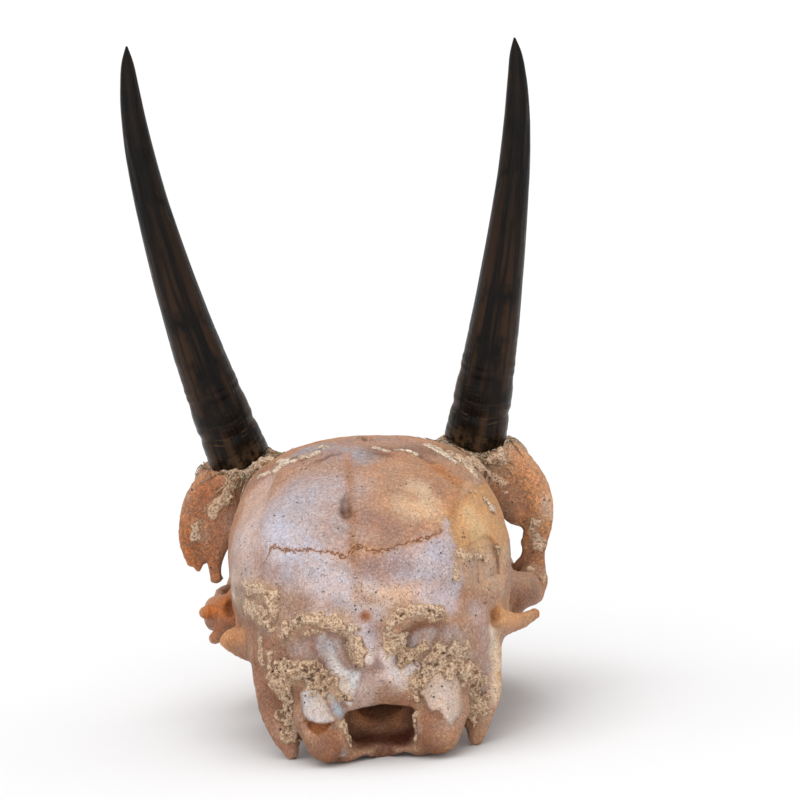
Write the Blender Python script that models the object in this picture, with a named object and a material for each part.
"""A steenbok's skull without its lower jaw: one cranium of bone, two horn sheaths and twelve cheek teeth.

X points to the animal's right, +Y to its nose and +Z up. The skull rests on its teeth and on the back of
its base, and the origin is on that surface, under the middle of the skull. The bone is drawn as soft shapes
that run into each other, then skinned with triangles. Places and sizes are in drawing units, which are
millimetres on a skull 135 mm long. In them x is zero in the skull's own middle plane, and y is zero where the
neck joint begins.
"""

from itertools import permutations, product

import bpy
import numpy as np

# Driving dimensions, in metres
SKULL_LENGTH = 0.135
HORN_LENGTH = 0.0775
HORN_BASE_RADIUS = 0.0056
GAP = 0.0003

# One drawing unit in metres. In drawing units: the origin, the grid's step, and the depth of open space
UNIT = SKULL_LENGTH / 135.0
ORIGIN = np.array([-1.46, 67.2, 0.0])
GRID_STEP = 0.9
SKULL_TRIANGLES = 6200
OUTSIDE = 9.0

# The horns, in drawing units. Each one has its length, the middle of its rim, and the spread and the lean
# backwards of its axis in degrees at shares of its length
HORNS = {
    "left": {
        "length": 1.02 * HORN_LENGTH / UNIT,
        "foot": np.array([22.3, 50.4, 49.4]),
        "spread": [(0.0, 16.5), (0.35, 12.8), (0.7, 8.2), (1.0, -2.5)],
        "lean": [(0.0, 16.0), (0.4, 12.0), (0.8, 3.0), (1.0, -4.0)],
    },
    "right": {
        "length": 0.965 * HORN_LENGTH / UNIT,
        "foot": np.array([21.2, 50.4, 49.4]),
        "spread": [(0.0, 13.6), (0.35, 11.3), (0.7, 8.6), (1.0, -1.0)],
        "lean": [(0.0, 16.0), (0.4, 12.0), (0.8, 3.0), (1.0, -4.0)],
    },
}
HORN_RADIUS = HORN_BASE_RADIUS / UNIT
HORN_TAPER = [
    (0.0, 1.03),
    (0.12, 0.96),
    (0.32, 0.79),
    (0.61, 0.57),
    (0.81, 0.42),
    (0.91, 0.3),
    (0.97, 0.17),
    (1.0, 0.03),
]
SHEATH_WALL = [(0.0, 0.2), (0.3, 0.3), (0.62, 0.56)]
SEAT_ROOM = 0.7
HORN_SIDES = 14
HORN_RINGS = 18
CORE_RINGS = 8

# Cheek teeth from the back forwards, in drawing units: length and width of each, then at y the x of their
# middles and the half width of the bone round them
TEETH = [
    ("molar_3", 9.2, 7.4),
    ("molar_2", 8.8, 7.6),
    ("molar_1", 7.8, 7.2),
    ("premolar_4", 6.0, 5.8),
    ("premolar_3", 6.2, 5.0),
    ("premolar_2", 5.6, 4.2),
]
TOOTH_ROW_BACK = 59.5
TOOTH_LINE = [(60, 14.8), (73, 15.2), (82, 14.5), (90, 13.2), (97, 11.8), (104, 10.3)]
TOOTH_BED_WIDTH = [(60, 4.9), (73, 5.1), (82, 4.9), (90, 4.3), (97, 3.9), (104, 3.4)]
TOOTH_ROOT_TOP = 9.4

# Strokes of crust: x and z of their points, the size of a lump and the count of lumps
CRUSTS = [
    ([(-15.5, 23.0), (-12.5, 24.8), (-9.0, 25.2), (-6.0, 24.2), (-3.6, 21.0)], 0.9, 16),
    ([(-18.0, 13.5), (-14.0, 15.5), (-8.6, 13.8), (-6.2, 11.2)], 1.3, 18),
    ([(2.6, 23.0), (6.4, 26.0), (10.0, 25.6), (13.6, 22.0)], 1.0, 16),
    ([(7.0, 18.0), (10.0, 15.0), (14.0, 11.5), (16.5, 8.5)], 1.3, 18),
    ([(-23.5, 30.0), (-20.0, 28.0), (-17.5, 25.5)], 1.0, 9),
]
CRUST_SEED = 7

BONE_COLOUR = (0.42, 0.20, 0.11)
HORN_COLOUR = (0.018, 0.013, 0.011)
TOOTH_COLOUR = (0.50, 0.36, 0.22)


# Soft shapes: each one is its lowest corner, its highest corner and a distance function, negative inside


def smooth_value(keys, values, at):
    """A smooth curve through the values at the keys."""
    keys = np.asarray(keys, float)
    values = np.asarray(values, float)
    slopes = np.gradient(values, keys)
    at = np.clip(at, keys[0], keys[-1])
    left = np.clip(np.searchsorted(keys, at, side="right") - 1, 0, len(keys) - 2)
    gap = keys[left + 1] - keys[left]
    t = (at - keys[left]) / gap
    rise = t * t * (3 - 2 * t)
    start = (t**3 - 2 * t**2 + t) * gap * slopes[left]
    end = (t**3 - t**2) * gap * slopes[left + 1]
    return values[left] * (1 - rise) + values[left + 1] * rise + start + end


def smooth_rows(rows, count):
    """More rows along the smooth curve through the given rows."""
    rows = np.array(rows, float)
    keys = np.arange(len(rows))
    at = np.linspace(0, len(rows) - 1, (len(rows) - 1) * count + 1)
    return np.stack([smooth_value(keys, column, at) for column in rows.T], 1)


def tilt(y, z, degrees):
    """Turns a point round the X axis."""
    angle = np.radians(degrees)
    return y * np.cos(angle) + z * np.sin(angle), z * np.cos(angle) - y * np.sin(angle)


def egg(middle, half, power=2.0, nod=0.0):
    """A ball with three half widths, squarer above a power of 2, nodding forwards by some degrees."""
    reach = np.array([half[0], max(half), max(half)] if nod else half)

    def distance(x, y, z):
        x, y, z = x - middle[0], y - middle[1], z - middle[2]
        if nod:
            y, z = tilt(y, z, nod)
        a, b, c = (np.abs(v) / h for v, h in zip((x, y, z), half))
        size = (a**power + b**power + c**power) ** (1 / power)
        round_size = np.sqrt(a * a + b * b + c * c) + 1e-6
        steepness = np.sqrt((a / half[0]) ** 2 + (b / half[1]) ** 2 + (c / half[2]) ** 2)
        return (size - 1) * round_size / (steepness + 1e-6)

    return np.array(middle) - reach, np.array(middle) + reach, distance


def rod(points, radii):
    """A chain of round bars that taper from one radius to the next."""
    points = np.array(points, float)
    radii = np.array(radii, float)

    def distance(x, y, z):
        nearest = OUTSIDE
        for a, b, radius_a, radius_b in zip(points, points[1:], radii, radii[1:]):
            run = b - a
            along = (x - a[0]) * run[0] + (y - a[1]) * run[1] + (z - a[2]) * run[2]
            t = np.clip(along / (run @ run), 0, 1)
            off = [v - a[i] - t * run[i] for i, v in enumerate((x, y, z))]
            away = np.sqrt(off[0] ** 2 + off[1] ** 2 + off[2] ** 2)
            nearest = np.minimum(nearest, away - radius_a - t * (radius_b - radius_a))
        return nearest

    return (points - radii[:, None]).min(0), (points + radii[:, None]).max(0), distance


def strap(stations, flat):
    """A bar of oval section from stations x, y, z, half width, half thickness. Flat is its thin direction."""
    rows = smooth_rows(stations, 4)
    flat = np.array(flat, float) / np.linalg.norm(flat)
    reach = rows[:, 3:5].max(1)[:, None]

    def distance(x, y, z):
        nearest = OUTSIDE
        for a, b in zip(rows, rows[1:]):
            run = b[:3] - a[:3]
            along = (x - a[0]) * run[0] + (y - a[1]) * run[1] + (z - a[2]) * run[2]
            t = np.clip(along / (run @ run), 0, 1)
            off = [v - a[i] - t * run[i] for i, v in enumerate((x, y, z))]
            through = off[0] * flat[0] + off[1] * flat[1] + off[2] * flat[2]
            across = np.maximum(off[0] ** 2 + off[1] ** 2 + off[2] ** 2 - through**2, 0)
            wide = a[3] + t * (b[3] - a[3])
            thick = a[4] + t * (b[4] - a[4])
            size = np.sqrt((through / thick) ** 2 + across / wide**2)
            steepness = np.sqrt(through**2 / thick**4 + across / wide**4) + 1e-6
            away = np.maximum((size - 1) * size / steepness, -np.minimum(thick, wide))
            nearest = np.minimum(nearest, away)
        return nearest

    return (rows[:, :3] - reach).min(0), (rows[:, :3] + reach).max(0), distance


def loft(stations, power=2.6):
    """A body along Y. A station is y, bottom, top, half width at the bottom, half width at the top."""
    rows = np.array(stations, float)
    wide = rows[:, 3:5].max()

    def distance(x, y, z):
        columns = [smooth_value(rows[:, 0], column, y.ravel()) for column in rows.T[1:]]
        bottom, top, low_half, high_half = (c.reshape(y.shape).astype(np.float32) for c in columns)
        middle = (bottom + top) / 2
        half_height = (top - bottom) / 2
        rise = np.clip((z - bottom) / (top - bottom), 0, 1)
        half_width = low_half + (high_half - low_half) * rise * rise * (3 - 2 * rise)
        size = (np.abs(x) / half_width) ** power + (np.abs(z - middle) / half_height) ** power
        away = (size ** (1 / power) - 1) * np.minimum(half_width, half_height)
        return np.maximum(away, np.maximum(rows[0, 0] - y, y - rows[-1, 0]))

    low = np.array([-wide, rows[0, 0], rows[:, 1].min()])
    return low, np.array([wide, rows[-1, 0], rows[:, 2].max()]), distance


def drum(foot, up, length, radius):
    """A flat-ended cylinder from its foot along a direction."""
    middle = foot + up * length / 2
    reach = radius + length / 2

    def distance(x, y, z):
        off = [v - middle[i] for i, v in enumerate((x, y, z))]
        along = off[0] * up[0] + off[1] * up[1] + off[2] * up[2]
        away = np.sqrt(np.maximum(off[0] ** 2 + off[1] ** 2 + off[2] ** 2 - along**2, 0))
        return np.maximum(away - radius, np.abs(along) - length / 2)

    return middle - reach, middle + reach, distance


def mirrored(shape):
    """The same shape on the animal's left side."""
    low, high, distance = shape
    flip = np.array([-1, 1, 1])
    return np.minimum(low * flip, high * flip), np.maximum(low * flip, high * flip), (
        lambda x, y, z: distance(-x, y, z)
    )


class Block:
    """A block of space, sampled on a grid, in which shapes are joined and cut."""

    def __init__(self, low, high, step):
        counts = np.round((np.array(high) - low) / step).astype(int) + 1
        self.step = step
        self.axes = [(low[i] + step * np.arange(counts[i])).astype(np.float32) for i in range(3)]
        self.depth = np.full(counts, OUTSIDE, np.float32)

    def window(self, shape, margin):
        """The part of the grid round the shape, and the shape's distance there."""
        low, high, distance = shape
        spans = []
        places = []
        for i, axis in enumerate(self.axes):
            span = slice(*np.searchsorted(axis, (low[i] - margin, high[i] + margin)))
            spans.append(span)
            places.append(axis[span].reshape([-1 if k == i else 1 for k in range(3)]))
        return tuple(spans), distance(*places)

    def add(self, shape, blend=1.0):
        """Joins a shape, with a fillet of about the blend."""
        spans, new = self.window(shape, blend + 3)
        old = self.depth[spans]
        fillet = np.maximum(blend - np.abs(old - new), 0) / blend
        self.depth[spans] = np.minimum(old, new) - fillet * fillet * blend / 4

    def cut(self, shape, blend=0.6):
        """Takes a shape away, and rounds the edge by about the blend."""
        spans, new = self.window(shape, blend + 3)
        old = self.depth[spans]
        fillet = np.maximum(blend - np.abs(old + new), 0) / blend
        self.depth[spans] = np.maximum(old, -new) + fillet * fillet * blend / 4

    def unfold(self):
        """Adds the mirror image at x < 0 to a block that starts at x = 0."""
        self.axes[0] = np.concatenate([-self.axes[0][:0:-1], self.axes[0]])
        self.depth = np.concatenate([self.depth[:0:-1], self.depth])


def horn_axis(side, share):
    """Point and direction of a horn's axis, drawn at x > 0; below zero it runs on straight down."""
    horn = HORNS[side]
    count = 60
    at = (np.arange(count) + 0.5) / count * max(share, 0)
    spread, lean = (np.radians(smooth_value(*zip(*horn[turn]), at)) for turn in ("spread", "lean"))
    rise = np.sqrt(1 - np.sin(spread) ** 2 - np.sin(lean) ** 2)
    steps = np.stack([np.sin(spread), -np.sin(lean), rise], 1)
    return horn["foot"] + steps.mean(0) * horn["length"] * share, steps[-1]


def horn_radius(share):
    """Outer radius of a sheath."""
    return HORN_RADIUS * smooth_value(*zip(*HORN_TAPER), share)


def cavity_radius(share):
    """Inner radius of a sheath."""
    return horn_radius(share) * (1 - smooth_value(*zip(*SHEATH_WALL), share))


# The bone, in drawing units


def vault(bone):
    """The round case of the brain and the squarer neck end below it."""
    bone.add(egg((0, 28.2, 31.6), (25.3, 28.2, 20.2), power=2.2, nod=13))
    bone.add(egg((0, 13.5, 17.5), (19.2, 12.2, 11.5), power=2.6), blend=5)


def brow(bone):
    """The forehead, which widens over the eyes, and the wall between the two orbits."""
    forehead = [
        (26, 34, 48.6, 14, 13),
        (38, 36, 50.6, 17, 18),
        (47, 38, 50.2, 19, 21),
        (56, 38, 48.7, 19, 23.5),
        (64, 34, 46.8, 19, 21.5),
        (72, 26, 44.6, 20, 18.5),
        (80, 20, 41.2, 18, 15),
        (88, 14, 37.0, 14, 12),
    ]
    inner_wall = [
        (44, 15, 46, 9, 14),
        (52, 15, 47, 9, 14),
        (60, 15, 46, 11, 14),
        (68, 12, 44, 15, 14),
        (76, 9, 42, 17, 15),
    ]
    bone.add(loft(forehead, power=2.5), blend=5)
    bone.add(loft(inner_wall), blend=4)


def snout(bone):
    """The face from the tooth rows and the tear bones to the nose."""
    face = [
        (56, 9.0, 18, 17.0, 13),
        (64, 8.0, 38, 19.4, 16),
        (71, 7.5, 43.6, 22.4, 19.0),
        (77, 7.3, 42.6, 21.6, 17.4),
        (83, 7.2, 40.0, 19.0, 13.6),
        (90, 7.2, 37.0, 16.8, 10.8),
        (98, 7.2, 33.6, 14.4, 8.8),
        (106, 7.4, 30.0, 11.6, 7.2),
        (113, 7.6, 26.6, 9.2, 5.8),
        (117, 7.8, 24.4, 8.0, 4.6),
    ]
    tooth_bed = [(x, y, 10.3, 4.0, half) for (y, x), (_, half) in zip(TOOTH_LINE, TOOTH_BED_WIDTH)]
    bone.add(loft(face, power=2.5), blend=4)
    bone.add(egg((15.5, 74.5, 30.0), (8.6, 6.0, 14.0), nod=-14), blend=4)
    bone.cut(egg((23.4, 83.0, 27.0), (3.6, 6.0, 6.0)), blend=3)
    bone.add(strap(tooth_bed, flat=(1, 0, 0)), blend=2.5)
    outer_bar = [
        (6.6, 101, 27.0, 2.4, 1.3),
        (7.8, 106, 22.8, 3.2, 1.3),
        (8.6, 111, 17.4, 3.6, 1.3),
        (8.0, 117, 13.2, 2.8, 1.3),
        (6.4, 124, 11.0, 2.1, 1.4),
        (4.8, 131, 9.6, 1.8, 1.8),
        (2.4, 133.6, 9.4, 1.5, 1.5),
    ]
    inner_bar = [
        (2.4, 101, 8.4, 1.4, 1.0),
        (2.0, 112, 8.8, 1.3, 1.0),
        (2.2, 124, 9.0, 1.4, 1.0),
        (2.6, 131, 9.2, 1.6, 1.2),
    ]
    bone.add(strap(outer_bar, flat=(1, 0.2, 0)), blend=2)
    bone.add(strap(inner_bar, flat=(0, 0, 1)), blend=1.2)


def orbit(bone):
    """The ring round the eye: roof, tear bone, cheek and the bar behind the eye, and the hollow inside it."""
    rim = [
        (24.5, 47.0, 46.4, 3.6, 2.2),
        (27.6, 51.5, 46.4, 3.4, 2.0),
        (28.2, 58, 45.9, 3.4, 1.9),
        (26.6, 65.5, 44.2, 3.6, 1.9),
        (24.4, 71.6, 40.8, 3.6, 2.0),
        (22.6, 74.6, 35, 3.6, 2.0),
        (22.8, 74.8, 28.4, 3.6, 2.0),
        (24.6, 72.4, 23.4, 3.4, 2.0),
    ]
    bar_behind_eye = [
        (24.2, 47.2, 44.8, 6.0, 2.4),
        (28.0, 46.2, 41.4, 5.4, 2.1),
        (30.4, 45.6, 37.2, 4.2, 1.8),
        (30.8, 46.0, 32.8, 3.2, 1.7),
        (29.6, 47.0, 28.0, 2.8, 1.7),
        (29.2, 48.4, 23.6, 3.0, 1.7),
    ]
    bone.add(strap(rim, flat=(1, 0.3, 1.2)), blend=3)
    bone.add(egg((22.8, 57.5, 45.4), (5.8, 9.5, 2.0)), blend=2)
    bone.add(egg((20.6, 67.0, 43.0), (5.8, 7.0, 2.4)), blend=2)
    bone.add(strap(bar_behind_eye, flat=(0.35, 1, 0.1)), blend=2.5)
    bone.cut(egg((32.0, 59.8, 33.9), (18.0, 13.4, 10.6), power=2.2), blend=2)


def cheek(bone):
    """The arch from the ear region past the eye to the face, and the pad for the jaw joint under its root."""
    arch = [
        (20, 29.5, 24.0, 4.4, 2.4),
        (25.2, 32.5, 23.4, 3.8, 1.9),
        (28.6, 38, 22.6, 3.2, 1.6),
        (29.8, 45, 22.0, 3.2, 1.6),
        (30.0, 53, 21.0, 3.6, 1.6),
        (28.8, 61, 19.8, 4.2, 1.7),
        (25.6, 69, 18.8, 5.0, 2.0),
        (20.6, 76.5, 18.2, 5.4, 2.6),
    ]
    bone.add(strap(arch, flat=(1, 0.15, 0.1)), blend=2.5)
    bone.add(egg((20.4, 33.0, 18.6), (5.8, 5.0, 3.0)), blend=3)


def base(bone):
    """The underside: ear capsules, processes and condyles at the back, the keel and the winged plates."""
    bone.add(egg((13.0, 23.5, 10.0), (6.2, 8.4, 6.6)), blend=2)
    bone.add(rod([(16, 24, 15), (21.4, 25.2, 22.5)], [4.0, 3.2]), blend=3)
    process = [
        (17.6, 14.6, 18, 4.4, 3.2),
        (17.8, 13.2, 9.5, 3.6, 2.0),
        (16.9, 12.0, 4.6, 2.5, 1.4),
        (16.2, 11.2, 1.0, 1.2, 1.1),
    ]
    bone.add(strap(process, flat=(0.15, 1, 0)), blend=3)
    bone.add(egg((8.5, 11.0, 8.0), (6.5, 8.0, 5.0)), blend=3)
    bone.add(rod([(6.8, 5.0, 3.4), (9.4, 3.6, 4.6), (11.6, 4.6, 8.0)], [3.4, 4.2, 3.6]), blend=2.5)
    keel = [(0, 7, 4.0), (0, 20, 8.0), (0, 34, 12.5), (0, 48, 17), (0, 60, 20)]
    bone.add(rod(keel, [4.4, 4.4, 4.2, 3.8, 3.4]), blend=3)
    bone.add(egg((6.4, 51, 14.6), (1.2, 8.5, 6.6), power=2.6, nod=-8), blend=2)


def nape(bone):
    """The arched crest over the neck muscles, the pits below it and the low ridge between them."""
    crest = [
        (1.6, 1.2, 18.6, 1.2, 1.2),
        (3.6, 1.4, 23.2, 1.3, 1.2),
        (7.4, 1.8, 25.4, 1.5, 1.2),
        (11.6, 3.2, 25.2, 1.5, 1.2),
        (15.4, 6.2, 22.6, 1.4, 1.2),
        (18.2, 9.8, 18.6, 1.2, 1.2),
    ]
    bone.cut(egg((8.4, -0.2, 18.4), (6.0, 4.2, 6.0)), blend=2)
    bone.add(strap(crest, flat=(0, 0.4, 1)), blend=1.6)


def horn_seat(bone, side):
    """The short stalk of bone under a sheath, cut off flat under its rim."""
    foot, up = horn_axis(side, 0)
    stalk = rod([foot - 7 * up, foot - 2.5 * up], [7.0, 5.2])
    room = drum(foot - SEAT_ROOM * up, up, 9.0, HORN_RADIUS + 2.0)
    if side == "left":
        stalk, room = mirrored(stalk), mirrored(room)
    bone.add(stalk, blend=4)
    bone.cut(room, blend=0.3)


def hollows(bone):
    """The room for the brain, the great hole, the nose passage, the palate's vault and the open front."""
    bone.cut(egg((0, 28.2, 31.6), (23.1, 25.8, 18.0), power=2.2, nod=13), blend=1.5)
    bone.cut(egg((0, 14.5, 19.0), (13.5, 9.5, 8.5), power=2.3), blend=3)
    bone.cut(rod([(0, 4, 5.2), (0, 18, 13.0)], [3.2, 6.0]), blend=2)
    bone.cut(egg((0, 4.0, 5.4), (6.0, 9, 3.5), power=4.0, nod=14), blend=0.8)
    bone.cut(rod([(0, -3, 0.2), (0, 5, 0.6)], [2.2, 1.4]), blend=1.5)
    bone.cut(rod([(30, 26.4, 23.6), (14, 24, 21.0)], [2.0, 1.6]), blend=1)
    nose_passage = [
        (50, 13, 17, 3.0, 3.0),
        (56, 12, 19.5, 4.6, 4.0),
        (62, 11.5, 26, 5.4, 5.0),
        (72, 11.0, 39, 9.4, 9.0),
        (86, 10.4, 36.4, 11.0, 7.6),
        (98, 10.0, 32, 9.4, 5.8),
        (108, 10.2, 28.4, 7.4, 5.2),
        (120, 10.4, 27, 7.4, 5.4),
    ]
    open_front = [
        (104, 15.5, 24.6, 6.0, 4.4),
        (110, 13.0, 25.4, 7.2, 4.6),
        (114, 12.0, 24.0, 9.0, 4.2),
        (118, 11.0, 30.0, 12.0, 9.0),
        (140, 10.4, 40, 14, 14),
    ]
    palate = [
        (55, -6, 10.6, 9.5, 6.0),
        (80, -6, 9.6, 9.5, 6),
        (100, -6, 8.7, 8.0, 5),
        (112, -6, 7.8, 6.0, 4),
    ]
    bone.cut(loft(nose_passage, power=2.4), blend=1)
    bone.cut(loft(open_front, power=3.0), blend=1)
    bone.cut(loft(palate), blend=1)


def nasal_tips(bone):
    """The pointed ends of the two nose bones, over the open front."""
    tip = [
        (2.3, 96, 34.0, 2.6, 1.1),
        (2.6, 103, 31.4, 2.8, 1.1),
        (2.7, 109, 28.9, 2.2, 1.1),
        (2.4, 114, 26.4, 1.2, 0.9),
    ]
    bone.add(strap(tip, flat=(0.15, 0.4, 1)), blend=1.5)


def crusts(bone):
    """Lumps of dried tissue and soil on the back, along strokes that are drawn as seen from behind."""
    draw = np.random.default_rng(CRUST_SEED)
    for stroke, size, count in CRUSTS:
        for x, z in smooth_rows(stroke, 12)[np.linspace(0, 12 * (len(stroke) - 1), count).astype(int)]:
            x, z = np.array([x, z]) + draw.normal(0, 0.6 * size, 2)
            column = bone.depth[np.searchsorted(bone.axes[0], x), :, np.searchsorted(bone.axes[2], z)]
            y = bone.axes[1][(column < 0).argmax()] + 0.3 * size
            bone.add(egg((x, y, z), size * draw.uniform(0.75, 1.25, 3)), blend=0.8)


def breaks(bone):
    """What is broken away on the left: most of the cheek arch and the foot of the bar behind the eye."""
    bone.cut(rod([(-31, 44, 24.6), (-31, 50, 24.0)], [4.2, 4.6]), blend=0.5)
    bone.cut(rod([(-32, 45, 21.6), (-31.4, 56, 20.6)], [5.2, 5.6]), blend=0.5)


def cranium_block(step):
    """All the bone but the horn cores."""
    bone = Block((0, -5, -1.5 * step), (36, 138, 60), step)
    for part in (vault, brow, snout, orbit, cheek, base, nape, hollows, nasal_tips):
        part(bone)
    bone.unfold()
    horn_seat(bone, "left")
    horn_seat(bone, "right")
    crusts(bone)
    breaks(bone)
    bone.depth = np.maximum(bone.depth, -bone.axes[2])
    return bone


# Meshes


def edge_crossings(block, ends):
    """Where the surface crosses the grid edges given by the numbers of their two ends."""
    counts = block.depth.shape
    depth = block.depth.ravel()[ends]
    t = np.clip(depth[:, 0] / (depth[:, 0] - depth[:, 1]), 0.04, 0.96)[:, None]
    corners = [np.stack(np.unravel_index(ends[:, k], counts), 1) for k in (0, 1)]
    low = np.array([axis[0] for axis in block.axes])
    return low + block.step * (corners[0] * (1 - t) + corners[1] * t)


def is_odd(order):
    """Whether the order is an odd permutation of 0, 1, 2 and so on."""
    pairs = [(i, k) for i in range(len(order)) for k in range(i)]
    return sum(order[k] > order[i] for i, k in pairs) % 2 == 1


def skin(block):
    """Points and triangles of the block's surface, found in the six tetrahedra of each grid cube."""
    inside = block.depth < 0
    counts = np.array(inside.shape)
    strides = np.array([counts[1] * counts[2], counts[2], 1])
    filled = sum(
        inside[a : counts[0] - 1 + a, b : counts[1] - 1 + b, c : counts[2] - 1 + c].astype(np.int8)
        for a, b, c in product((0, 1), repeat=3)
    )
    cubes = np.argwhere((filled > 0) & (filled < 8)) @ strides
    faces = []
    for order in permutations(range(3)):
        steps = np.concatenate([[0], np.cumsum(strides[list(order)])])
        corners = cubes[:, None] + steps
        pattern = inside.ravel()[corners]
        for signs in product((False, True), repeat=4):
            within = [k for k in range(4) if signs[k]]
            without = [k for k in range(4) if not signs[k]]
            rows = corners[(pattern == signs).all(1)]
            if not within or not without or not len(rows):
                continue
            turned = is_odd(order) != is_odd(within + without)
            if len(within) == 2:
                (a, b), (c, d) = within, without
                edges = [(a, c), (a, d), (b, d), (b, c)]
            else:
                edges = list(product(within, without))
            if turned:
                edges = edges[::-1]
            ring = np.stack([np.sort(rows[:, list(edge)], 1) for edge in edges], 1)
            faces += [ring[:, [0, k, k + 1]] for k in range(1, len(edges) - 1)]
    faces = np.concatenate(faces).reshape(-1, 2)
    ends, triangles = np.unique(faces, axis=0, return_inverse=True)
    return edge_crossings(block, ends), triangles.reshape(-1, 3)


def biggest_piece(points, triangles):
    """Drops loose crumbs and sealed bubbles, which are surfaces of their own."""
    label = np.arange(len(points))
    while True:
        lowest = label.copy()
        np.minimum.at(lowest, triangles.ravel(), np.repeat(label[triangles].min(1), 3))
        lowest = lowest[lowest]
        if (lowest == label).all():
            break
        label = lowest
    names, sizes = np.unique(label, return_counts=True)
    kept = label == names[sizes.argmax()]
    number = np.cumsum(kept) - 1
    return points[kept], number[triangles[kept[triangles[:, 0]]]]


def material(name, colour, roughness):
    """A plain Principled material."""
    made = bpy.data.materials.new(name)
    made.use_nodes = True
    shader = made.node_tree.nodes["Principled BSDF"]
    shader.inputs["Base Color"].default_value = (*colour, 1)
    shader.inputs["Roughness"].default_value = roughness
    return made


def mesh_object(name, points, faces, finish):
    """An object from points in drawing units."""
    mesh = bpy.data.meshes.new(name)
    mesh.from_pydata(((points - ORIGIN) * UNIT).tolist(), [], [tuple(map(int, face)) for face in faces])
    mesh.materials.append(finish)
    mesh.shade_smooth()
    made = bpy.data.objects.new(name, mesh)
    bpy.context.scene.collection.objects.link(made)
    return made


def ring(side, share, radius):
    """A ring of points square to the horn's axis."""
    middle, along = horn_axis(side, share)
    outward = np.cross((0, 1, 0), along)
    outward /= np.linalg.norm(outward)
    front = np.cross(along, outward)
    angles = 2 * np.pi * np.arange(HORN_SIDES) / HORN_SIDES
    return middle + radius * (np.outer(np.cos(angles), outward) + np.outer(np.sin(angles), front))


def stack(rings):
    """Points and faces of a closed body from rings of equal count, capped at both ends."""
    sides = len(rings[0])
    faces = []
    for level in range(len(rings) - 1):
        for k in range(sides):
            below = level * sides + k
            beside = level * sides + (k + 1) % sides
            faces.append((below, beside, beside + sides, below + sides))
    top = (len(rings) - 1) * sides
    faces.append(tuple(range(sides))[::-1])
    faces.append(tuple(range(top, top + sides)))
    return np.concatenate(rings), faces


def sheath_rings(side):
    """Rings down the inside of the sheath to its rim, and up its outside to the tip."""
    deep = SHEATH_WALL[-1][0]
    inside = [ring(side, t, cavity_radius(t)) for t in np.linspace(deep, 0, CORE_RINGS)]
    outside = [ring(side, t, horn_radius(t)) for t in np.linspace(0, 1, HORN_RINGS) ** 0.85]
    return inside + outside


def core_rings(side):
    """Rings up the bony core, which clears the sheath all round."""
    deep = SHEATH_WALL[-1][0] - 0.012
    clear = 1.4 * GAP / UNIT
    return [ring(side, t, cavity_radius(max(t, 0)) - clear) for t in np.linspace(-0.07, deep, CORE_RINGS)]


def tooth_outline(length, width, lobes):
    """The tooth seen from below: smooth lobes inside, pinched folds outside."""
    angles = 2 * np.pi * np.arange(8 * lobes) / (8 * lobes)
    along = np.sign(np.sin(angles)) * np.abs(np.sin(angles)) ** 0.75
    across = np.sign(np.cos(angles)) * np.abs(np.cos(angles)) ** 0.75
    pinch = 1 - 0.1 * (1 - np.cos(2 * np.pi * lobes * along / 2)) / 2 * np.abs(across)
    return np.stack([across * pinch * width / 2, along * length / 2], 1)


def tooth_rings(outline, middle, top, room=0.0):
    """Rings of a tooth from its worn face, at height zero, to the end of its root, with room all round."""
    outline = outline * (1 + room / np.linalg.norm(outline, axis=1, keepdims=True))
    levels = [(-room, 0.9), (1.6, 1.0), (top + room, 0.97)]
    return [
        np.column_stack([outline * share + middle, np.full(len(outline), height)]) for height, share in levels
    ]


def tooth_places():
    """Name, middle, outline of each tooth of the right side."""
    back = TOOTH_ROW_BACK
    for name, length, width in TEETH:
        y = back + length / 2
        x = smooth_value(*zip(*TOOTH_LINE), y)
        yield name, np.array([x, y]), tooth_outline(length, width, 2 if name.startswith("molar") else 1)
        back += length + GAP / UNIT


def on_side(points, faces, side):
    """The shape as drawn for the right side, or its mirror image."""
    if side == "right":
        return points, faces
    return points * (-1, 1, 1), [face[::-1] for face in faces]


def join(target, other, operation):
    """Adds a Boolean modifier."""
    modifier = target.modifiers.new(operation + " " + other.name, "BOOLEAN")
    modifier.object = other
    modifier.operation = operation
    other.hide_render = True
    other.display_type = "WIRE"


def main():
    for old in list(bpy.data.objects):
        bpy.data.objects.remove(old)
    bone = material("old bone", BONE_COLOUR, 0.6)
    horn = material("black horn", HORN_COLOUR, 0.45)
    enamel = material("worn tooth", TOOTH_COLOUR, 0.4)
    points, triangles = biggest_piece(*skin(cranium_block(GRID_STEP)))
    skull = mesh_object("skull", points, triangles, bone)
    fewer = skull.modifiers.new("fewer faces", "DECIMATE")
    fewer.ratio = SKULL_TRIANGLES / len(triangles)
    for side in ("left", "right"):
        mesh_object("horn_sheath_" + side, *on_side(*stack(sheath_rings(side)), side), horn)
        core = mesh_object("core_" + side, *on_side(*stack(core_rings(side)), side), bone)
        join(skull, core, "UNION")
        for name, middle, outline in tooth_places():
            crown = stack(tooth_rings(outline, middle, TOOTH_ROOT_TOP))
            mesh_object(name + "_" + side, *on_side(*crown, side), enamel)
            socket = stack(tooth_rings(outline, middle, TOOTH_ROOT_TOP, room=1.1 * GAP / UNIT))
            cutter = mesh_object("socket_" + name + "_" + side, *on_side(*socket, side), bone)
            join(skull, cutter, "DIFFERENCE")


main()
